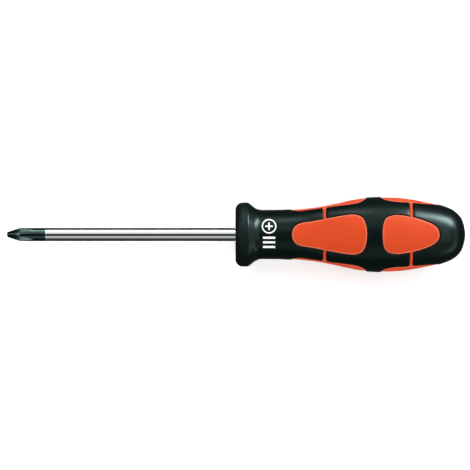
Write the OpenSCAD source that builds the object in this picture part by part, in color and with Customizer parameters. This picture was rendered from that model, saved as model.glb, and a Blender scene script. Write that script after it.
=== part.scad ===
// Cross-point screwdriver: a round steel blade fixed in a moulded handle.
// The handle is built in three shots: a hard core on the blade's tang, a black
// shell with eight windows in it, and two soft grips that fill the windows.
// The blade's axis is X, its point is at the origin and the handle is at +X.
// All sizes are in millimetres.

/* [Blade] */
// Length of the blade from its point to the handle's front face
blade_len = 100; // [80:5:150]
// Diameter of the round shank
shank_d = 5.8; // [5:0.1:6.5]
// Length of the blade's dark, unplated end
dark_len = 17; // [14:1:25]
// Diameter across the wings at the nose of the point
nose_d = 2.4; // [2.2:0.1:2.6]
// Angle between the axis and the outer edge of a wing
wing_angle = 18; // [15:1:24]
// Thickness of a wing at the nose
wing_t = 0.9; // [0.7:0.1:1.1]
// Length of the four flutes
flute_len = 11.5; // [9:0.5:13]
// Length of the tang inside the handle
tang_len = 62; // [50:1:75]

/* [Handle] */
// Largest distance from the axis to a side of the shell, at the belly
belly_r = 16.5; // [15.6:0.1:17.6]
// Distance from the axis to a side of the shell, at the neck
neck_r = 10.75; // [10.35:0.05:11.35]
// Radius of the collar's rim
rim_r = 14; // [13.5:0.1:14.5]
// Width of the collar's rim up to the start of the flare
rim_w = 6.4; // [5.5:0.1:6.8]
// Angle of the flare behind the collar
flare_angle = 38; // [30:1:45]
// Thickness of the shell and of the soft grips
wall = 3.2; // [2.6:0.1:3.6]

/* [Soft grips] */
// Depth of the soft pads below the shell's surface
pad_recess = 0.3; // [0.1:0.1:0.6]
// Width of the open line around each pad
pad_line = 0.2; // [0.1:0.05:0.3]
// Width of the runners that join the four pads of a grip
runner_w = 1.35; // [1:0.05:1.8]
// Depth of the runners in the shell
runner_depth = 1.1; // [0.8:0.1:1.5]

/* [Hidden] */

shank_r = shank_d / 2;
bond = 0.04;                  // gap between bonded mouldings, so that no two solids share space
runner_drop = 0.1;            // depth of a runner below the pads it joins
round_fn = 48;                // facets of a full circle where a curve is drawn
section_fn = 48;              // points around a section of the handle
span_steps = 3;               // steps between two knots of a curve

// ---- Point of the blade ----
nose_cone = 0.45;             // height of the blunt cone on the nose
nose_flat_r = 0.35;           // radius of the nose's flat end
wing_end = nose_cone + (shank_r - nose_d / 2) / tan(wing_angle);
// A flute is cut by a V-edged disc whose rim starts at the web and leaves the shank at flute_len.
web_r = wing_t / sqrt(2);
disc_r = flute_len * flute_len / (2 * (shank_r - web_r)) + (shank_r - web_r) / 2;
disc_edge = 6;                // height of the disc's V-shaped edge

// ---- Tang of the blade ----
relief_len = 0.1;             // gap between the end of the full shank and the handle's front face
mouth_depth = 0.5;            // depth of the handle's mouth, which is as wide as the shank
tang_r = shank_r - 0.5;       // radius of the rolled tang
lug_len = 9;                  // length of a pair of lugs
lug_reach = 1.5;              // how far a lug stands out of the tang
lug_t = 2.4;                  // thickness of a lug
lug_starts = [14, 34];        // distance of each pair from the handle's front face
tang_chamfer = 0.8;

// ---- Handle ----
// A knot is [distance from the front face, distance of a side from the axis, squareness].
// Squareness is the exponent of the section's superellipse: 2 is a circle.
rim_round = 3.1;              // rounding of the collar's front edge
rim_edge = 1.3;                 // rounding between the rim and the flare
neck_fillet = 6;              // hollow rounding between the flare and the neck
edge_x = rim_w - rim_edge;
flare_top = [edge_x + rim_edge * sin(flare_angle), rim_r - rim_edge * (1 - cos(flare_angle))];
flare_foot_r = neck_r + neck_fillet * (1 - cos(flare_angle));
flare_foot_x = flare_top[0] + (flare_top[1] - flare_foot_r) / tan(flare_angle);
neck_x = flare_foot_x + neck_fillet * sin(flare_angle);
grow = belly_r - neck_r;
belly_knots = [
    [neck_x, neck_r, 2],
    [20, neck_r + 0.02 * grow, 2.05],
    [28, neck_r + 0.10 * grow, 2.2],
    [36, neck_r + 0.26 * grow, 2.75],
    [44, neck_r + 0.53 * grow, 2.75],
    [54, neck_r + 0.89 * grow, 2.3],
    [64, belly_r, 2.25],
    [74, neck_r + 0.92 * grow, 2.2],
    [84, neck_r + 0.61 * grow, 2.15],
    [91, neck_r + 0.31 * grow, 2.1],
    [95.5, 10.5, 2.1],
    [98.5, 7.6, 2.05],
    [99.8, 4.5, 2],
    [100.4, 1.7, 2]
];
core_start = 5;               // thickness of the shell in front of the core
core_end = 95;
key_t = 2;                    // thickness of the core's keys, one under each bar of the shell
key_reach = 1;                // how far a key stands out of the core
key_end = 90;

// ---- Outlines of the pads, one half: [distance from the front face, half width] ----
front_pad = [[24.3, 0], [25.1, 3], [28, 5.15], [34, 6.2], [42, 7.75], [48.5, 8.85],
             [52.6, 8.9], [55.4, 7.4], [56.9, 4], [57.3, 0]];
rear_pad = [[63.5, 0], [63.8, 4.4], [65.4, 7.5], [69.2, 8.75], [73.5, 8.45], [79, 7.3],
            [84.5, 5.4], [87.5, 3.5], [88.6, 1.7], [88.9, 0]];
front_runner_x = 38.75;        // distance of each grip's runner from the front face
rear_runner_x = 76.4;

// A point on the curve from p[1] to p[2] that also looks at its neighbours p[0] and p[3].
function curve_point(p, t) =
    0.5 * ((2 * p[1]) + (p[2] - p[0]) * t
        + (2 * p[0] - 5 * p[1] + 4 * p[2] - p[3]) * t * t
        + (3 * p[1] - p[0] - 3 * p[2] + p[3]) * t * t * t);

// A smooth open curve through the knots.
function open_curve(k, steps) = let (n = len(k) - 1) [
    for (i = [0 : n - 1]) for (s = [0 : steps - 1])
        curve_point([k[max(i - 1, 0)], k[i], k[i + 1], k[min(i + 2, n)]], s / steps),
    k[n]
];

// A smooth closed curve through the knots.
function closed_curve(k, steps) = let (n = len(k)) [
    for (i = [0 : n - 1]) for (s = [0 : steps - 1])
        curve_point([k[(i + n - 1) % n], k[i], k[(i + 1) % n], k[(i + 2) % n]], s / steps)
];

// A half outline that starts and ends on the centre line, closed by its mirror image.
function whole_outline(half) = closed_curve(
    concat(half, [for (i = [len(half) - 2 : -1 : 1]) [half[i][0], -half[i][1]]]), span_steps);

// Every point of an outline moved inward, square to the line through its neighbours.
function inset_outline(p, inset) = let (n = len(p)) [
    for (i = [0 : n - 1]) let (d = p[(i + 1) % n] - p[(i + n - 1) % n])
        p[i] + inset / norm(d) * [d[1], -d[0]]
];

function arc_stations(cx, cr, r, from, to, steps) = [
    for (i = [0 : steps]) let (a = from + (to - from) * i / steps) [cx + r * cos(a), cr + r * sin(a), 2]
];

collar_stations = concat(
    arc_stations(rim_round, rim_r - rim_round, rim_round, 180, 90, 6),
    arc_stations(edge_x, rim_r - rim_edge, rim_edge, 90, 90 - flare_angle, 3),
    arc_stations(neck_x, neck_r + neck_fillet, neck_fillet, 270 - flare_angle, 262, 3)
);
belly_stations = open_curve(belly_knots, span_steps);
shell_stations = concat(collar_stations, belly_stations);

// Distance from the axis to a point of a section, at an angle from its side.
function section_r(r, n, a) = r / pow(pow(abs(cos(a)), n) + pow(abs(sin(a)), n), 1 / n);

function between(p, q, x) = p + (q - p) * (x - p[0]) / (q[0] - p[0]);

// The section at a distance x from the front face.
function station_at(x, i = 0) =
    i >= len(shell_stations) - 2 || shell_stations[i + 1][0] >= x
        ? between(shell_stations[i], shell_stations[i + 1], x)
        : station_at(x, i + 1);

// A solid through the sections at the stations, each taken in by inset.
module handle_form(stations, inset = 0) {
    n = section_fn;
    last = len(stations) - 1;
    points = [
        for (s = stations) for (i = [0 : n - 1])
            let (a = 360 * i / n, r = section_r(s[1] - inset, s[2], a)) [s[0], r * cos(a), r * sin(a)]
    ];
    sides = [
        for (k = [0 : last - 1]) for (i = [0 : n - 1]) let (j = (i + 1) % n)
            each [[k * n + j, k * n + i, (k + 1) * n + i], [k * n + j, (k + 1) * n + i, (k + 1) * n + j]]
    ];
    ends = [[for (i = [0 : n - 1]) i], [for (i = [n - 1 : -1 : 0]) last * n + i]];
    translate([blade_len, 0, 0])
        polyhedron(points, concat(sides, ends), convexity = 6);
}

// Stations whose distance from the front face lies between from and to.
function stations_between(from, to) = [for (s = shell_stations) if (s[0] >= from && s[0] <= to) s];

// A turned solid on the blade's axis, from a list of [x, r].
module turned(profile) {
    rotate([0, 90, 0])
        rotate_extrude($fn = round_fn)
            polygon([for (p = profile) [p[1], p[0]]]);
}

module side_copies() {
    for (q = [0 : 3])
        rotate([90 * q, 0, 0])
            children();
}

// ---- Blade ----
module point_flutes() {
    for (q = [0 : 3])
        rotate([45 + 90 * q, 0, 0])
            translate([0, 0, web_r + disc_r])
                rotate([90, 0, 0])
                    rotate_extrude($fn = 4 * round_fn)
                        polygon([[0, -disc_edge], [disc_r - disc_edge, -disc_edge], [disc_r, 0],
                                 [disc_r - disc_edge, disc_edge], [0, disc_edge]]);
}

module blade_point() {
    difference() {
        turned([[0, 0], [0, nose_flat_r], [nose_cone, nose_d / 2], [wing_end, shank_r],
                [dark_len, shank_r], [dark_len, 0]]);
        point_flutes();
    }
}

// Flattened lugs that stop the blade turning in the handle, drawn larger by grow_by for their seat.
module tang_lugs(grow_by = 0) {
    reach = tang_r + lug_reach + grow_by;
    end = lug_len + 2 * grow_by;
    for (i = [0 : len(lug_starts) - 1])
        translate([blade_len + lug_starts[i] - grow_by, 0, 0])
            rotate([90 + 90 * i, 0, 0])
                translate([0, 0, -lug_t / 2 - grow_by])
                    linear_extrude(lug_t + 2 * grow_by)
                        polygon([[0, 0], [lug_reach, reach], [end - lug_reach, reach],
                                 [end, 0], [end - lug_reach, -reach], [lug_reach, -reach]]);
}

// The part of the blade inside the handle, drawn larger by grow_by for its seat.
module tang(grow_by = 0) {
    from = blade_len - relief_len;
    end = blade_len + tang_len + grow_by;
    turned([[from, 0], [from, tang_r + grow_by], [end - tang_chamfer, tang_r + grow_by],
            [end, tang_r + grow_by - tang_chamfer], [end, 0]]);
    tang_lugs(grow_by);
}

module blade() {
    shank_end = blade_len - relief_len;
    color("gainsboro") {
        turned([[dark_len, 0], [dark_len, shank_r], [shank_end, shank_r], [shank_end, 0]]);
        tang();
    }
    color("darkslategray") blade_point();
}

// ---- Core ----
// The core's outer form, drawn larger by grow_by for the cavity that holds it.
module core_form(grow_by = 0) {
    body = [for (k = belly_knots) if (k[0] < core_end) [blade_len + k[0], k[1] - wall + grow_by]];
    front = blade_len + core_start - grow_by;
    back = blade_len + core_end + grow_by;
    turned(concat([[front, 0], [front, body[0][1]]], body, [[back, body[len(body) - 1][1]], [back, 0]]));
    core_keys(grow_by);
}

// Two crossed plates whose edges stand out of the core, one under each bar of the shell.
module core_keys(grow_by) {
    knots = [for (k = belly_knots) if (k[0] < key_end) k];
    last = len(knots) - 1;
    edge = [for (k = knots) [blade_len + k[0], k[1] - wall + key_reach + grow_by]];
    top = concat([edge[0] - [grow_by, 0]], edge, [edge[last] + [grow_by, 0]]);
    bottom = [for (i = [len(top) - 1 : -1 : 0]) [top[i][0], -top[i][1]]];
    for (a = [45, 135])
        rotate([a + 90, 0, 0])
            translate([0, 0, -key_t / 2 - grow_by])
                linear_extrude(key_t + 2 * grow_by)
                    polygon(concat(top, bottom));
}

module handle_core() {
    color("dimgray")
        difference() {
            core_form();
            tang(bond);
        }
}

// ---- Shell ----
module window_cut(half, inset = 0) {
    translate([blade_len, 0, 0])
        linear_extrude(2 * belly_r)
            polygon(inset_outline(whole_outline(half), inset));
}

// One corner's piece of a runner, in two straight spans, between the angles of the pads' edges.
module runner_corner(x, width, outer, inner) {
    s = station_at(x);
    reach = 18;                // degrees from the corner to the end of a span, inside the pad
    for (side = [-1, 1])
        hull()
            for (a = [45, 45 + side * reach])
                rotate([a, 0, 0])
                    translate([blade_len + x - width / 2, -0.01, section_r(s[1], s[2], a) - inner])
                        cube([width, 0.02, inner - outer]);
}

module runner(x, width, outer, inner) {
    side_copies()
        runner_corner(x, width, outer, inner);
}

module shell_mouth() {
    from = blade_len - relief_len;
    to = blade_len + mouth_depth;
    turned([[from, 0], [from, shank_r + bond], [to, shank_r + bond], [to, 0]]);
}

module handle_shell() {
    color("#1b2422")
        difference() {
            handle_form(shell_stations);
            core_form(bond);
            tang(bond);
            shell_mouth();
            side_copies() {
                window_cut(front_pad);
                window_cut(rear_pad);
            }
            runner(front_runner_x, runner_w, -1, runner_depth);
            runner(rear_runner_x, runner_w, -1, runner_depth);
        }
}

// ---- Soft grips ----
// Four pads in one row of windows, joined by a runner over each bar of the shell.
module soft_grip(half, runner_x) {
    from = half[0][0] - 3;
    to = half[len(half) - 1][0] + 3;
    intersection() {
        difference() {
            handle_form(stations_between(from, to), pad_recess);
            core_form(bond);
        }
        side_copies()
            window_cut(half, pad_line);
    }
    runner(runner_x, runner_w - 2 * bond, pad_recess + runner_drop, runner_depth - bond);
}

module front_grip() {
    color("orangered") soft_grip(front_pad, front_runner_x);
}

module rear_grip() {
    color("orangered") soft_grip(rear_pad, rear_runner_x);
}

blade();
handle_core();
handle_shell();
front_grip();
rear_grip();
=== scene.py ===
import bisect
import math
from collections import namedtuple

import bmesh
import bpy
from mathutils import Matrix, Vector


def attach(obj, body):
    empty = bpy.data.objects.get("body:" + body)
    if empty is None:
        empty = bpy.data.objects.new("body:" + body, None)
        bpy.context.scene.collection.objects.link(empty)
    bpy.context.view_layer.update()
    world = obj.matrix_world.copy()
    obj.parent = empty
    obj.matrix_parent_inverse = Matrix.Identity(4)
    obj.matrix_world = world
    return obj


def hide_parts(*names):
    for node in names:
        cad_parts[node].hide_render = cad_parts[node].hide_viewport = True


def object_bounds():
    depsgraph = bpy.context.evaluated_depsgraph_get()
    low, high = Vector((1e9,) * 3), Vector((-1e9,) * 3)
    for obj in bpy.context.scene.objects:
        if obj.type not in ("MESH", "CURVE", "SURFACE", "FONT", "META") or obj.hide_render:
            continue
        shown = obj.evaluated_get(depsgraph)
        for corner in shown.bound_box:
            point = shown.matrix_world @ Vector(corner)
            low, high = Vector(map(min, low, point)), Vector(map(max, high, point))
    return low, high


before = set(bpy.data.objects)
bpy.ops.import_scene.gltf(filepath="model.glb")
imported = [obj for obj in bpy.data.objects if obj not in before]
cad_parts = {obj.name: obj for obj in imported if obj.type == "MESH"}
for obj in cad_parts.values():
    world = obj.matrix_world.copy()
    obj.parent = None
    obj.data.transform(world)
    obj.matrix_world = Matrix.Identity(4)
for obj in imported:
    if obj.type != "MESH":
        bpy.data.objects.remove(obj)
cad_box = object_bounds()

# Shapes are worked out in millimetres and scaled to metres when a piece is finished.
MM = 0.001

# ---- Blade, measured from its point ----
BLADE = 100.0                # from the point to the handle's front face
SHANK_R = 2.9
TANG_R = 2.4
TANG_END = 162.0
TANG_CHAMFER = 0.8
RELIEF = 0.1                 # gap between the end of the full shank and the handle
DARK_END = 17.0              # where the plating starts
NOSE = [(0, 0), (0, 0.35), (0.06, 0.66), (0.2, 1.0), (0.45, 1.2)]   # x and radius down the nose
WING_ANGLE = math.radians(18)
WING_T = 0.9
# Where the wings' cone rounds into the shank: x past the cone's end, and depth below the shank.
SHOULDER = [(-0.25, 0.25 * math.tan(WING_ANGLE)), (-0.08, 0.05), (0.2, 0)]
FLUTE_LEN = 11.5
CUTTER_EDGE = 6.0            # depth of the sloped edge of the discs that cut the flutes
CUTTER_SIDES = 240
BLADE_SIDES = 96
SHARP = math.radians(28)     # the ground edges stay crisp past this angle

# ---- Handle, measured from its front face ----
NECK_R = 10.75
BELLY_R = 16.49
RIM_R = 14.0
RIM_ROUND = 3.1              # rounding of the rim's front edge
RIM_END = 5.1
RIM_EDGE = 1.3               # rounding of the rim's rear edge
FLARE = math.radians(38)
NECK_FILLET = 6.0
HANDLE_END = 100.4
BUTT_FLAT_R = 1.7
MOUTH_GAP = 0.04             # room round the shank where it enters the collar
MOUTH = [(4, 0), (0.2, 0), (0.05, 0.06), (0, 0.2)]   # x and distance out from the hole's wall
FACE_RINGS = (3.6, 5, 7, 9)  # radii of the rings on the flat front face
NECK_STEP = 0.9              # spacing of the rings along the neck
STRIP = 0.15                 # narrow ring beside a rounding, which keeps the flat beyond it even
QUARTER = 24                 # sides of a section in a quarter turn
BODY_STEPS = 24              # stations between two knots of the body

# ---- Windows, pads and runners ----
FRONT_EDGE, BELT, REAR_EDGE = 22.0, 60.7, 92.0   # ends of the panels round the windows
WALL = 3.1                   # depth of the windows
LIP = 0.25                   # rounding of a window's edge
LIP_LAND = 0.12              # plain strip outside that rounding
TIP = 1.6                    # length of a window's tip; the rest of the outline is its sides
SIDE_STEP = 1.0              # spacing of points along a window's sides
PANEL_ROWS = 6               # rows of faces from a window out to its panel's border
ROW_GROWTH = 1.2
RECESS = 0.3                 # depth of the pads below the shell
PAD_LINE = 0.22              # open line around a pad
PAD_ROLL = 0.55              # rounding of a pad's edge
PAD_FOOT = 0.05              # height of a pad's underside above the window's floor
PAD_POINTS = 56              # points along each side of a pad
PAD_ROWS = 9
SPINE_IN = 4                 # how far a pad's middle line stops short of its tips
SLOT_W = 1.6
SLOT_DEPTH = 1.1
SLOT_LIP = 0.2
RUNNER_W = 1.3
RUNNER_ROLL = 0.3
RUNNER_DROP = 0.04           # depth of a runner's top below the pads
RUNNER_FOOT = 0.03           # height of a runner's underside above the slot's floor
RUNNER_TUCK = math.radians(5)   # how far a runner's ends reach into the pads
RUNNER_SLICES = 20

# ---- Print on the neck ----
MARK_X = 14.6
RING_Y, RING_R, RING_LINE = 3.6, 2.9, 0.26       # its middle, radius and half its line's width
CROSS_R, CROSS_LINE = 1.65, 0.32
BAR_YS, BAR_LONG, BAR_WIDE = (-1.4, -3.4, -5.4), 2.65, 0.45   # their middles and half sizes


def curve_point(before, start, end, after, t):
    return 0.5 * (2 * start + (end - before) * t
                  + (2 * before - 5 * start + 4 * end - after) * t * t
                  + (3 * start - before - 3 * end + after) * t * t * t)


def smooth_curve(knots, steps):
    """An open curve through the knots."""
    knots = [Vector(k) for k in knots]
    last = len(knots) - 1
    points = []
    for i in range(last):
        four = (knots[max(i - 1, 0)], knots[i], knots[i + 1], knots[min(i + 2, last)])
        points += [curve_point(*four, step / steps) for step in range(steps)]
    return points + [knots[last]]


# Side radius and squareness of the section along the handle: 2 is a circle.
EDGE_TOP = (RIM_END + RIM_EDGE * math.sin(FLARE), RIM_R - RIM_EDGE * (1 - math.cos(FLARE)))
FOOT_R = NECK_R + NECK_FILLET * (1 - math.cos(FLARE))
FOOT_X = EDGE_TOP[0] + (EDGE_TOP[1] - FOOT_R) / math.tan(FLARE)
NECK_X = FOOT_X + NECK_FILLET * math.sin(FLARE)
GROW = BELLY_R - NECK_R
BODY = smooth_curve([
    (NECK_X, NECK_R, 2),
    (20, NECK_R + 0.02 * GROW, 2.05),
    (28, NECK_R + 0.10 * GROW, 2.2),
    (36, NECK_R + 0.26 * GROW, 2.75),
    (44, NECK_R + 0.53 * GROW, 2.75),
    (54, NECK_R + 0.89 * GROW, 2.3),
    (64, BELLY_R, 2.25),
    (74, NECK_R + 0.92 * GROW, 2.2),
    (84, NECK_R + 0.61 * GROW, 2.15),
    (91, NECK_R + 0.31 * GROW, 2.1),
    (95.5, 10.5, 2.1),
    (98.5, 7.6, 2.05),
    (99.8, 4.5, 2),
    (HANDLE_END, BUTT_FLAT_R, 2),
], BODY_STEPS)
BODY_X = [station.x for station in BODY]

# Half a pad's outline, x and half width. The windows have the same outlines.
FRONT_PAD = [(24.3, 0), (25.1, 3), (28, 5.15), (34, 6.2), (42, 7.75), (48.5, 8.85),
             (52.6, 8.9), (55.4, 7.4), (56.9, 4), (57.3, 0)]
REAR_PAD = [(63.5, 0), (63.8, 4.4), (65.4, 7.5), (69.2, 8.75), (73.5, 8.45), (79, 7.3),
            (84.5, 5.4), (87.5, 3.5), (88.6, 1.7), (88.9, 0)]
FRONT_RUNNER, REAR_RUNNER = 38.75, 76.4


def section_at(x):
    """Side radius and squareness of the handle at x."""
    i = min(max(bisect.bisect_right(BODY_X, x), 1), len(BODY) - 1)
    low, high = BODY[i - 1], BODY[i]
    mixed = low.lerp(high, (x - low.x) / (high.x - low.x))
    return min(mixed.y, BELLY_R), mixed.z


def around(x, r, n, turn):
    """A point of a section, at an angle from straight up."""
    across, up = math.sin(turn), math.cos(turn)
    reach = r / (abs(across) ** n + abs(up) ** n) ** (1 / n)
    return Vector((BLADE + x, reach * across, reach * up))


def above(x, y, lift):
    """The point of the upper side over (x, y), moved out of the surface by lift."""
    r, n = section_at(x)
    return Vector((BLADE + x, y, ((r + lift) ** n - abs(y) ** n) ** (1 / n)))


# ---- Tools for meshes ----
class Skin:
    """A surface grown from one closed ring of points to the next."""

    def __init__(self, bm, count):
        self.bm = bm
        self.spot = bm.verts.layers.int.get("spot") or bm.verts.layers.int.new("spot")
        self.rim = bm.verts.layers.float.get("rim") or bm.verts.layers.float.new("rim")
        circle = bmesh.ops.create_circle(bm, cap_ends=False, segments=count, radius=1)
        self.verts = circle["verts"]
        for i, vert in enumerate(self.verts):
            vert[self.spot] = i
        self.edges = list(dict.fromkeys(edge for vert in self.verts for edge in vert.link_edges))

    def place(self, points, rim=0.0):
        for vert in self.verts:
            vert.co = points[vert[self.spot]]
            vert[self.rim] = rim

    def grow(self, points, rim=0.0):
        grown = bmesh.ops.extrude_edge_only(self.bm, edges=self.edges)["geom"]
        edges = [part for part in grown if isinstance(part, bmesh.types.BMEdge)]
        self.verts = [part for part in grown if isinstance(part, bmesh.types.BMVert)]
        self.edges = [edge for edge in edges if edge.is_boundary]
        self.place(points, rim)

    def cap(self):
        bmesh.ops.contextual_create(self.bm, geom=self.edges)


def quarter_copies(bm):
    """Repeats everything at each quarter turn round the tool's axis."""
    everything = bm.verts[:] + bm.edges[:] + bm.faces[:]
    bmesh.ops.spin(bm, geom=everything, cent=(0, 0, 0), axis=(1, 0, 0), dvec=(0, 0, 0),
                   angle=math.radians(270), steps=3, use_merge=False, use_duplicate=True)


def close_seams(bm):
    bmesh.ops.remove_doubles(bm, verts=bm.verts[:], dist=0.0005)


def new_object(bm, name):
    mesh = bpy.data.meshes.new(name)
    bm.to_mesh(mesh)
    bm.free()
    made = bpy.data.objects.new(name, mesh)
    bpy.context.scene.collection.objects.link(made)
    return made


def finish_piece(bm, name, material, sharp=None):
    """Closes the seams, turns the faces outwards and makes the object, in metres."""
    close_seams(bm)
    bmesh.ops.dissolve_degenerate(bm, edges=bm.edges[:], dist=0.00005)
    bmesh.ops.recalc_face_normals(bm, faces=bm.faces[:])
    bmesh.ops.scale(bm, vec=(MM, MM, MM), verts=bm.verts[:])
    for face in bm.faces:
        face.smooth = True
    piece = new_object(bm, name)
    if sharp is not None:
        piece.data.set_sharp_from_angle(angle=sharp)
    piece.data.materials.append(material)
    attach(piece, "root")
    return piece


# ---- Tools for outlines ----
def half_outline(knots):
    """One side of a pad's outline, from its front tip to its rear tip."""
    mirrored = [(knots[1][0], -knots[1][1])] + list(knots) + [(knots[-2][0], -knots[-2][1])]
    steps = 24
    return smooth_curve(mirrored, steps)[steps:-steps]


def walk(curve, distance):
    """The point at a distance along a curve."""
    for here, there in zip(curve, curve[1:]):
        step = (there - here).length
        if distance <= step:
            return here.lerp(there, distance / step)
        distance -= step
    return curve[-1].copy()


def walk_to(curve, x):
    """The distance along a curve to the place where it reaches x."""
    gone = 0.0
    for here, there in zip(curve, curve[1:]):
        if min(here.x, there.x) <= x <= max(here.x, there.x):
            return gone + (there - here).length * (x - here.x) / ((there.x - here.x) or 1)
        gone += (there - here).length
    return gone


def meet(curve, x):
    """The point where a curve reaches x."""
    return walk(curve, walk_to(curve, x))


def quarter_round(radius, steps):
    """How far back from the wall and how far down each point of a rounded edge lies, going up."""
    turns = [math.radians(90) * step / steps for step in range(steps + 1)]
    return [(radius * (1 - math.cos(turn)), -radius * (1 - math.sin(turn))) for turn in turns]


def evenly(start, end, spacing):
    """Even steps from start up to end, without end itself."""
    count = max(1, round((end - start) / spacing))
    return [start + (end - start) * i / count for i in range(count)]


def outward(points):
    """The outward direction at each point of a closed outline that runs clockwise."""
    normals = []
    for i, _ in enumerate(points):
        along = points[(i + 1) % len(points)] - points[i - 1]
        normals.append(Vector((-along.y, along.x)).normalized())
    return normals


def quarter_turn(j):
    """The angle of a section's side, from the quarter's first corner."""
    return math.radians(-45 + 90 * j / QUARTER)


# ---- Shell ----
# A point of a window's outline: where it is, how deep the shell's top lies there, the x that it
# reaches on the panel's border, its angle there if that is at the panel's end, and whether it is
# in the runner's slot.
Spot = namedtuple("Spot", "place depth reach turn cut")


def window_side(runner, first, last, start, end):
    """One long side of a window, as (x, depth, reach, cut), with the runner's slot across it."""
    edge = SLOT_W / 2
    lip = reversed(quarter_round(SLOT_LIP, 3))
    left = [(runner - edge - back, down) for back, down in lip]
    right = [(2 * runner - x, down) for x, down in reversed(left)]
    slot = left + [(runner - edge, -SLOT_DEPTH), (runner + edge, -SLOT_DEPTH)] + right
    low, high = slot[0][0], slot[-1][0]
    side = [(x, 0.0, start + (x - first) * (low - start) / (low - first), False)
            for x in evenly(first, low, SIDE_STEP)]
    side += [(x, down, x, True) for x, down in slot]
    side += [(x, 0.0, high + (x - high) * (end - high) / (last - high), False)
             for x in evenly(high, last, SIDE_STEP)[1:]]
    return side + [(last, 0.0, end, False)]


def window_spots(knots, runner, start, end):
    """The points round a window: its front tip, one side, its rear tip and the other side."""
    half = half_outline(knots)
    reverse = half[::-1]
    first, last = knots[0][0] + TIP, knots[-1][0] - TIP
    front_tip, rear_tip = walk_to(half, first), walk_to(reverse, last)
    side = window_side(runner, first, last, start, end)
    spots = []
    for j in range(QUARTER):
        share = 2 * j / QUARTER - 1
        at = walk(half, abs(front_tip * share))
        place = Vector((at.x, math.copysign(at.y, share)))
        spots.append(Spot(place, 0.0, start, quarter_turn(j), False))
    for x, depth, reach, cut in side[:-1]:
        spots.append(Spot(meet(half, x), depth, reach, None, cut))
    for j in range(QUARTER):
        share = 1 - 2 * j / QUARTER
        at = walk(reverse, abs(rear_tip * share))
        place = Vector((at.x, math.copysign(at.y, share)))
        spots.append(Spot(place, 0.0, end, -quarter_turn(j), False))
    for x, depth, reach, cut in side[:0:-1]:
        at = meet(half, x)
        spots.append(Spot(Vector((at.x, -at.y)), depth, reach, None, cut))
    return spots


def panel(bm, knots, runner, start, end):
    """A quarter of the shell round one window, from its floor out to the panel's border."""
    spots = window_spots(knots, runner, start, end)
    normals = outward([spot.place for spot in spots])

    def moved(spot, normal, distance):
        if spot.cut:
            return spot.place + Vector((0, distance / normal.y))
        return spot.place + normal * distance

    def ring(distance, lift):
        return [above(*moved(spot, normal, distance), min(lift, spot.depth))
                for spot, normal in zip(spots, normals)]

    def border(spot):
        r, n = section_at(spot.reach)
        if spot.turn is None:
            across = (r + spot.depth) * 0.5 ** (1 / n)
            return Vector((spot.reach, math.copysign(across, spot.place.y)))
        return around(spot.reach, r, n, spot.turn).xy - Vector((BLADE, 0))

    skin = Skin(bm, len(spots))
    skin.place(ring(0, -WALL))
    skin.cap()
    for back, down in quarter_round(LIP, 4):
        skin.grow(ring(back, down))
    flush = LIP + LIP_LAND
    skin.grow(ring(flush, 0))
    for row in range(1, PANEL_ROWS + 1):
        spread = (row / PANEL_ROWS) ** ROW_GROWTH
        skin.grow([above(*moved(spot, normal, flush).lerp(border(spot), spread), spot.depth)
                   for spot, normal in zip(spots, normals)])


def round_rings(bm, stations, capped=True):
    """The whole turn of the handle through a list of (x, side radius, squareness)."""
    turns = [quarter_turn(j) for j in range(4 * QUARTER)]
    skin = Skin(bm, len(turns))
    skin.place([around(*stations[0], turn) for turn in turns])
    if capped:
        skin.cap()
    for station in stations[1:]:
        skin.grow([around(*station, turn) for turn in turns])


def arc(x, r, radius, start, end, steps):
    """Round stations along an arc about (x, r), in degrees from +X."""
    turns = [math.radians(start + (end - start) * i / steps) for i in range(steps + 1)]
    return [(x + radius * math.cos(turn), r + radius * math.sin(turn), 2) for turn in turns]


def collar_stations():
    """The mouth round the shank, the flat face, the rim, the flare and the neck."""
    slope = math.degrees(FLARE)
    rise, fall = FOOT_X - EDGE_TOP[0], FOOT_R - EDGE_TOP[1]
    stations = [(x, SHANK_R + MOUTH_GAP + out, 2) for x, out in MOUTH]
    stations += [(0, r, 2) for r in (*FACE_RINGS, RIM_R - RIM_ROUND - STRIP)]
    stations += arc(RIM_ROUND, RIM_R - RIM_ROUND, RIM_ROUND, 180, 90, 14)
    stations += [(RIM_ROUND + (RIM_END - RIM_ROUND) * share, RIM_R, 2) for share in (0.1, 0.5, 0.9)]
    stations += arc(RIM_END, RIM_R - RIM_EDGE, RIM_EDGE, 90, 90 - slope, 6)
    stations += [(EDGE_TOP[0] + rise * share, EDGE_TOP[1] + fall * share, 2)
                 for share in (0.08, 0.3, 0.6, 0.9)]
    stations += arc(NECK_X, NECK_R + NECK_FILLET, NECK_FILLET, 270 - slope, 270, 10)[:-1]
    neck = evenly(NECK_X, FRONT_EDGE, NECK_STEP) + [FRONT_EDGE]
    return stations + [(x, *section_at(x)) for x in neck]


def dome_stations():
    """From the middle of the handle's end forward to the rear panels."""
    # Every third station of the body is enough here.
    tail = [tuple(station) for station in BODY if station.x > REAR_EDGE + 0.2][::3]
    stations = [(HANDLE_END, r, 2) for r in (0, 0.4, 0.9, BUTT_FLAT_R)]
    return stations + tail[:-1][::-1] + [(REAR_EDGE, *section_at(REAR_EDGE))]


def make_shell(material):
    bm = bmesh.new()
    panel(bm, FRONT_PAD, FRONT_RUNNER, FRONT_EDGE, BELT)
    panel(bm, REAR_PAD, REAR_RUNNER, BELT, REAR_EDGE)
    quarter_copies(bm)
    round_rings(bm, collar_stations())
    round_rings(bm, dome_stations(), capped=False)
    return finish_piece(bm, "shell", material)


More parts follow.
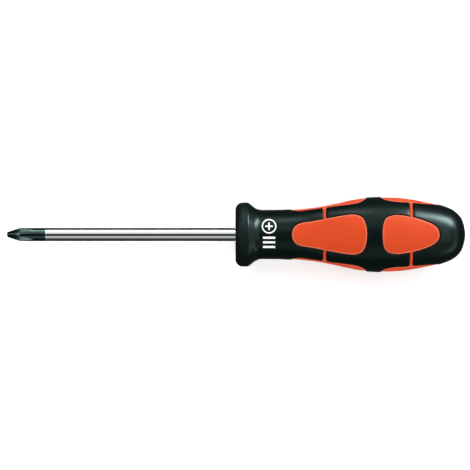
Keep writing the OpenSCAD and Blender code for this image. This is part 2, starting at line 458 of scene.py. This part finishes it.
# ---- Pads and runners ----
def make_pad(bm, knots):
    half = half_outline(knots)
    length = walk_to(half, knots[-1][0])
    edge = [walk(half, length * i / PAD_POINTS) for i in range(PAD_POINTS)] + [half[-1]]
    points = edge + [Vector((spot.x, -spot.y)) for spot in edge[-2:0:-1]]
    normals = outward(points)

    def ring(distance, lift):
        return [above(*(point - normal * distance), lift) for point, normal in zip(points, normals)]

    skin = Skin(bm, len(points))
    skin.place(ring(PAD_LINE, -WALL + PAD_FOOT))
    skin.cap()
    for back, down in quarter_round(PAD_ROLL, 6):
        # The rim value sets how strongly the painted highlight on the rolled edge shows, strongest at its
        # outer side.
        skin.grow(ring(PAD_LINE + back, down - RECESS), rim=1.0 - 0.6 * back / PAD_ROLL)
    flat = PAD_LINE + PAD_ROLL + STRIP
    skin.grow(ring(flat, -RECESS))
    front, rear = knots[0][0] + SPINE_IN, knots[-1][0] - SPINE_IN
    for row in range(1, PAD_ROWS + 1):
        inner = []
        for point, normal in zip(points, normals):
            start = point - normal * flat
            spine = Vector((min(max(start.x, front), rear), 0))
            inner.append(start.lerp(spine, row / PAD_ROWS))
        skin.grow([above(*spot, -RECESS) for spot in inner])


def make_runner(bm, knots, x):
    """The link over one bar, between two pads."""
    edge = meet(half_outline(knots), x)
    n = section_at(x)[1]
    start = math.atan2(edge.y, above(x, edge.y, 0)[2]) - RUNNER_TUCK
    end = math.radians(90) - start
    side, top, foot = RUNNER_W / 2, -RECESS - RUNNER_DROP, -SLOT_DEPTH + RUNNER_FOOT
    left = [(-side + back, top + down) for back, down in quarter_round(RUNNER_ROLL, 3)]
    section = [(-side, foot)] + left + [(-dx, lift) for dx, lift in reversed(left)] + [(side, foot)]

    def slice_at(turn):
        return [around(x + dx, section_at(x + dx)[0] + lift, n, turn) for dx, lift in section]

    skin = Skin(bm, len(section))
    skin.place(slice_at(start))
    skin.cap()
    for i in range(1, RUNNER_SLICES + 1):
        skin.grow(slice_at(start + (end - start) * i / RUNNER_SLICES))
    skin.cap()


def make_grip(name, knots, runner, material):
    bm = bmesh.new()
    make_pad(bm, knots)
    make_runner(bm, knots, runner)
    quarter_copies(bm)
    return finish_piece(bm, name, material)


# ---- Blade ----
def make_cutter():
    """Four V-edged discs, whose edges leave the bottoms of the flutes."""
    web = WING_T / math.sqrt(2)
    disc = FLUTE_LEN ** 2 / (2 * (SHANK_R - web)) + (SHANK_R - web) / 2
    rows = [(0, -CUTTER_EDGE), (disc - CUTTER_EDGE, -CUTTER_EDGE), (disc, 0),
            (disc - CUTTER_EDGE, CUTTER_EDGE), (0, CUTTER_EDGE)]
    bm = bmesh.new()
    verts = [bm.verts.new((reach, height, 0)) for reach, height in rows]
    edges = [bm.edges.new(pair) for pair in zip(verts, verts[1:])]
    bmesh.ops.spin(bm, geom=verts + edges, cent=(0, 0, 0), axis=(0, 1, 0), dvec=(0, 0, 0),
                   angle=math.radians(360), steps=CUTTER_SIDES, use_merge=True, use_duplicate=False)
    close_seams(bm)
    bmesh.ops.translate(bm, vec=(0, 0, web + disc), verts=bm.verts[:])
    eighth = Matrix.Rotation(math.radians(45), 3, "X")
    bmesh.ops.rotate(bm, cent=(0, 0, 0), matrix=eighth, verts=bm.verts[:])
    quarter_copies(bm)
    bmesh.ops.recalc_face_normals(bm, faces=bm.faces[:])
    return new_object(bm, "cutter")


def make_bar():
    """The blade before its flutes are cut."""
    nose_x, nose_r = NOSE[-1]
    wing_end = nose_x + (SHANK_R - nose_r) / math.tan(WING_ANGLE)
    rows = NOSE + [(wing_end + dx, SHANK_R - depth) for dx, depth in SHOULDER]
    rows += [(DARK_END, SHANK_R), (BLADE - RELIEF, SHANK_R), (BLADE - RELIEF, TANG_R)]
    rows += [(TANG_END - TANG_CHAMFER, TANG_R), (TANG_END, TANG_R - TANG_CHAMFER), (TANG_END, 0)]
    turns = [2 * math.pi * i / BLADE_SIDES for i in range(BLADE_SIDES)]
    bm = bmesh.new()
    skin = Skin(bm, BLADE_SIDES)
    skin.place([Vector((0, 0, 0)) for _ in turns])
    for x, r in rows[1:]:
        skin.grow([Vector((x, r * math.sin(turn), r * math.cos(turn))) for turn in turns])
    close_seams(bm)
    bmesh.ops.recalc_face_normals(bm, faces=bm.faces[:])
    return new_object(bm, "bar")


def make_blade(material):
    bar, cutter = make_bar(), make_cutter()
    cut = bar.modifiers.new("flutes", "BOOLEAN")
    cut.operation = "DIFFERENCE"
    cut.solver = "EXACT"
    cut.object = cutter
    bpy.context.view_layer.update()
    bm = bmesh.new()
    bm.from_object(bar, bpy.context.evaluated_depsgraph_get())
    for spare in (bar, cutter):
        bpy.data.objects.remove(spare)
    return finish_piece(bm, "blade_bar", material, sharp=SHARP)


# ---- Finishes ----
class Signal:
    """A value in a shader that takes arithmetic."""

    def __init__(self, finish, socket):
        self.finish = finish
        self.socket = socket

    def math(self, operation, *values):
        return self.finish.node("ShaderNodeMath", {"operation": operation}, dict(enumerate(values)))

    def __add__(self, other):
        return self.math("ADD", self, other)

    def __radd__(self, other):
        return self.math("ADD", other, self)

    def __sub__(self, other):
        return self.math("SUBTRACT", self, other)

    def __rsub__(self, other):
        return self.math("SUBTRACT", other, self)

    def __mul__(self, other):
        return self.math("MULTIPLY", self, other)

    def __rmul__(self, other):
        return self.math("MULTIPLY", other, self)

    def __abs__(self):
        return self.math("ABSOLUTE", self)

    def least(self, other):
        return self.math("MINIMUM", self, other)

    def most(self, other):
        return self.math("MAXIMUM", self, other)


class Finish:
    """A material and the nodes in it."""

    def __init__(self, name, **constants):
        self.material = bpy.data.materials.new(name)
        self.material.use_nodes = True
        self.tree = self.material.node_tree
        self.shader = next(node for node in self.tree.nodes if node.type == "BSDF_PRINCIPLED")
        for socket, value in constants.items():
            self.shader.inputs[socket.replace("_", " ")].default_value = value
        self.place = self.node("ShaderNodeTexCoord", output="Object")

    def node(self, kind, settings=None, inputs=None, output=0):
        made = self.tree.nodes.new(kind)
        for setting, value in (settings or {}).items():
            setattr(made, setting, value)
        for socket, value in (inputs or {}).items():
            self.join(value, made.inputs[socket])
        return Signal(self, made.outputs[output])

    def join(self, value, socket):
        if isinstance(value, Signal):
            self.tree.links.new(value.socket, socket)
        else:
            socket.default_value = value

    def axes(self):
        split = self.node("ShaderNodeSeparateXYZ", inputs={0: self.place}).socket.node
        return [Signal(self, socket) for socket in split.outputs]

    def length(self, vector):
        return self.node("ShaderNodeVectorMath", {"operation": "LENGTH"}, {0: vector}, output="Value")

    def step(self, value, low, high):
        """0 below low, 1 above high, smooth between."""
        return self.node("ShaderNodeMapRange", {"interpolation_type": "SMOOTHSTEP"},
                         {"Value": value, "From Min": low, "From Max": high})

    def within(self, distance, edge, soft):
        """1 nearer than edge and 0 farther, soft over a little on both sides, in millimetres."""
        return 1 - self.step(distance, (edge - soft) * MM, (edge + soft) * MM)

    def noise(self, scale, detail=2.0, vector=None):
        return self.node("ShaderNodeTexNoise", inputs={
            "Vector": vector or self.place, "Scale": scale, "Detail": detail})

    def mix(self, factor, first, second):
        made = self.tree.nodes.new("ShaderNodeMix")
        made.data_type = "RGBA"
        for value, socket in ((factor, "Factor"), (first, 6), (second, 7)):
            self.join(value, made.inputs[socket])
        return Signal(self, made.outputs[2])

    def bump(self, height, strength, distance):
        return self.node("ShaderNodeBump", inputs={
            "Height": height, "Strength": strength, "Distance": distance})

    def feed(self, **sockets):
        for socket, value in sockets.items():
            self.join(value, self.shader.inputs[socket.replace("_", " ")])


def colour(red, green, blue):
    return (red, green, blue, 1.0)


def printed_mark(finish, x, y, z):
    """A ring with a plain cross in it and three bars, on the neck's upper side."""
    along, across = x - (BLADE + MARK_X) * MM, y - RING_Y * MM
    far = finish.length(finish.node("ShaderNodeCombineXYZ", inputs={0: along, 1: across}))
    ring = finish.within(abs(far - RING_R * MM), RING_LINE, 0.04)
    arms = finish.within(abs(along).least(abs(across)), CROSS_LINE, 0.04)
    mark = ring.most(arms * finish.within(far, CROSS_R, 0.05))
    for middle in BAR_YS:
        wide = finish.within(abs(y - middle * MM), BAR_WIDE, 0.05)
        mark = mark.most(wide * finish.within(abs(along), BAR_LONG, 0.05))
    return mark * finish.step(z, 4 * MM, 4.5 * MM)


def shell_finish():
    finish = Finish("shell_plastic", Specular_IOR_Level=0.23, Specular_Tint=colour(0.66, 1.0, 0.95))
    x, y, z = finish.axes()
    grain = finish.noise(2600, 3)
    cloud = finish.noise(60, 2)
    base = finish.mix(cloud, colour(0.0004, 0.0024, 0.0021), colour(0.0009, 0.0036, 0.0033))
    # The rim is a little duller than the rest.
    satin = 1 - finish.step(x, (BLADE + RIM_END - 0.5) * MM, (BLADE + RIM_END + 0.5) * MM)
    # The ink is worn away in fine specks.
    ink = printed_mark(finish, x, y, z) * finish.step(finish.noise(900, 2), 0.2, 0.3)
    finish.feed(Base_Color=finish.mix(ink, base, colour(0.86, 0.88, 0.87)),
                Roughness=0.26 + 0.1 * grain + 0.1 * ink + 0.24 * satin,
                Normal=finish.bump(grain, 0.18, 0.00006))
    return finish.material


def grip_finish():
    finish = Finish("grip_rubber", Specular_IOR_Level=0.12)
    rim = finish.node("ShaderNodeAttribute", {"attribute_name": "rim"}, output="Fac")
    grain = finish.noise(3400, 3)
    cloud = finish.noise(90, 3)
    base = finish.mix(cloud, colour(0.53, 0.0475, 0.0072), colour(0.59, 0.0565, 0.01))
    # Painted highlight: the pads' rolled edges are painted paler, standing in for light caught on their
    # rounding.
    finish.feed(Base_Color=finish.mix(rim * 0.8, base, colour(0.84, 0.24, 0.15)),
                Roughness=0.5 + 0.2 * grain,
                Normal=finish.bump(grain, 0.25, 0.00008))
    return finish.material


def steel_finish():
    finish = Finish("blade_steel", Metallic=1.0)
    x = finish.axes()[0]
    plated = finish.step(x, (DARK_END - 0.15) * MM, (DARK_END - 0.05) * MM)
    # The plating starts in a narrow dull band.
    dull = plated * (1 - finish.step(x, (DARK_END + 0.5) * MM, (DARK_END + 0.9) * MM))
    # The polish runs in rings round the shank.
    squeezed = finish.node("ShaderNodeVectorMath", {"operation": "MULTIPLY"},
                           {0: finish.place, 1: (6.0, 0.6, 0.6)})
    polish = finish.noise(700, 3, squeezed)
    scale = finish.noise(500, 3)
    dark = finish.mix(scale, colour(0.04, 0.07, 0.067), colour(0.06, 0.1, 0.096))
    bright = finish.mix(polish, colour(0.78, 0.8, 0.8), colour(0.86, 0.88, 0.88))
    dark_rough, bright_rough = 0.1 + 0.08 * scale, 0.06 + 0.05 * polish
    finish.feed(Base_Color=finish.mix(plated, dark, bright),
                Roughness=(1 - plated) * dark_rough + plated * bright_rough + 0.14 * dull,
                Normal=finish.bump(polish, 0.06, 0.00002))
    return finish.material


def core_finish():
    finish = Finish("core_plastic")
    base = finish.mix(finish.noise(80), colour(0.1, 0.11, 0.11), colour(0.14, 0.15, 0.15))
    finish.feed(Base_Color=base, Roughness=0.4 + 0.1 * finish.noise(2000))
    return finish.material


# ---- The tool ----
shell = make_shell(shell_finish())
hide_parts("handle_shell")

grip = grip_finish()
front = make_grip("front_grip_panels", FRONT_PAD, FRONT_RUNNER, grip)
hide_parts("front_grip")
rear = make_grip("rear_grip_panels", REAR_PAD, REAR_RUNNER, grip)
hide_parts("rear_grip")

blade = make_blade(steel_finish())
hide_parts("blade")

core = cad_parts["handle_core"]
core.data.materials.clear()
core.data.materials.append(core_finish())

# ---- Floor, light and camera, in metres ----
FLOOR_Z = cad_box[0][2]
FLOOR_HALF = 3
CURTAIN_R = 2.6
MIDDLE = Vector((0.0998, -0.00021, 0))   # what the camera looks at
CAMERA_UP = 1.5
VIEW_WIDTH = 0.20567
SENSOR = 36


def floor_finish():
    finish = Finish("floor_paint", Roughness=0.9, Specular_IOR_Level=0.1, Emission_Strength=1.0)
    # The floor glows a little under the tool, which keeps shadows faint, and its far parts glow
    # enough to stay as pale as the lit middle.
    far_out = finish.step(finish.length(finish.place), 0.55, 1.6)
    finish.feed(Base_Color=finish.mix(finish.noise(3), colour(0.95, 0.95, 0.95), colour(0.97, 0.97, 0.97)),
                Emission_Color=finish.mix(far_out, colour(0.2, 0.2, 0.2), colour(0.9, 0.9, 0.9)))
    return finish.material


def make_floor():
    bm = bmesh.new()
    bmesh.ops.create_grid(bm, x_segments=2, y_segments=2, size=FLOOR_HALF)
    bmesh.ops.translate(bm, vec=(0, 0, FLOOR_Z), verts=bm.verts[:])
    floor = new_object(bm, "floor")
    floor.data.materials.append(floor_finish())
    floor.visible_glossy = False


def make_curtain():
    """A pale curtain round the floor, seen only where a low camera looks past the floor's far side."""
    bm = bmesh.new()
    bmesh.ops.create_cone(bm, cap_ends=False, segments=96, radius1=CURTAIN_R, radius2=CURTAIN_R,
                          depth=CURTAIN_R)
    bmesh.ops.translate(bm, vec=(0, 0, CURTAIN_R / 2 + FLOOR_Z), verts=bm.verts[:])
    curtain = new_object(bm, "curtain")
    cloth = Finish("curtain_cloth", Base_Color=colour(0, 0, 0), Emission_Color=colour(1, 1, 1),
                   Emission_Strength=1.0)
    curtain.data.materials.append(cloth.material)
    curtain.visible_glossy = False
    curtain.visible_diffuse = False
    curtain.visible_shadow = False


def softbox(name, bearing, height, distance, size, radiance, mirrored=True, spread=True, shift=0.0):
    """A lamp seen from the tool at a bearing from +X and a height above the floor, in degrees.

    One that is not mirrored shows in no shiny face; one that is not spread lights no matt face.
    The shift moves it along X. Of two lamps in one direction, the mirrored one stands nearer."""
    bearing, height = math.radians(bearing), math.radians(height)
    data = bpy.data.lights.new(name, "AREA")
    data.shape = "RECTANGLE"
    data.size, data.size_y = size
    data.energy = radiance * math.pi * size[0] * size[1]
    lamp = bpy.data.objects.new(name, data)
    bpy.context.scene.collection.objects.link(lamp)
    level = math.cos(height)
    toward = Vector((level * math.cos(bearing), level * math.sin(bearing), math.sin(height)))
    lamp.location = MIDDLE + toward * distance + Vector((shift, 0, 0))
    lamp.rotation_euler = toward.to_track_quat("Z", "Y").to_euler()
    lamp.visible_camera = False
    lamp.visible_glossy = mirrored
    lamp.visible_diffuse = spread


def make_camera():
    lens = bpy.data.cameras.new("camera")
    lens.sensor_width = SENSOR
    lens.lens = SENSOR * CAMERA_UP / VIEW_WIDTH
    lens.clip_end = 20
    camera = bpy.data.objects.new("camera", lens)
    camera.location = MIDDLE + Vector((0, 0, CAMERA_UP))
    bpy.context.scene.collection.objects.link(camera)
    return camera


make_floor()
make_curtain()

softbox("far_foot", 90, 8, 0.9, (2.0, 0.2), 0.9)
softbox("far_low", 90, 22, 0.9, (2.0, 0.19), 8.6, mirrored=False)
softbox("far_blade", 90, 22, 0.88, (0.21, 0.186), 8.6, spread=False, shift=-0.105)
softbox("far_dome", 90, 22, 0.88, (0.8, 0.186), 5.0, spread=False, shift=0.6)
softbox("far_high", 90, 52, 1.1, (2.0, 0.93), 0.95)
softbox("near_high", -90, 43, 1.1, (2.0, 0.8), 0.5)
softbox("spark", 44, 18, 0.9, (0.5, 0.24), 40.0, spread=False)
softbox("near_side", -38, 5, 0.9, (0.5, 0.12), 5.0, spread=False)
softbox("front_side", 150, 30, 0.9, (0.8, 0.4), 1.1, spread=False)
softbox("front_high", 168, 56, 0.9, (0.5, 0.3), 2.6, spread=False)
softbox("butt_side", 0, 14, 0.95, (0.8, 0.28), 1.5)
softbox("butt_high", 0, 46, 1.0, (0.8, 0.35), 2.0)
softbox("overhead", 90, 89, 2.4, (2.4, 2.4), 1.25, mirrored=False)
softbox("near_fill", -90, 48, 2.0, (2.4, 2.0), 1.1, mirrored=False)
softbox("near_low", -90, 10, 1.0, (2.0, 0.34), 2.0, mirrored=False)

world = bpy.data.worlds.new("room")
bpy.context.scene.world = world
world.use_nodes = True
world.node_tree.nodes["Background"].inputs["Color"].default_value = colour(1, 1, 1)
world.node_tree.nodes["Background"].inputs["Strength"].default_value = 0.05

bpy.context.scene.camera = make_camera()
bpy.context.scene.view_settings.view_transform = "Standard"
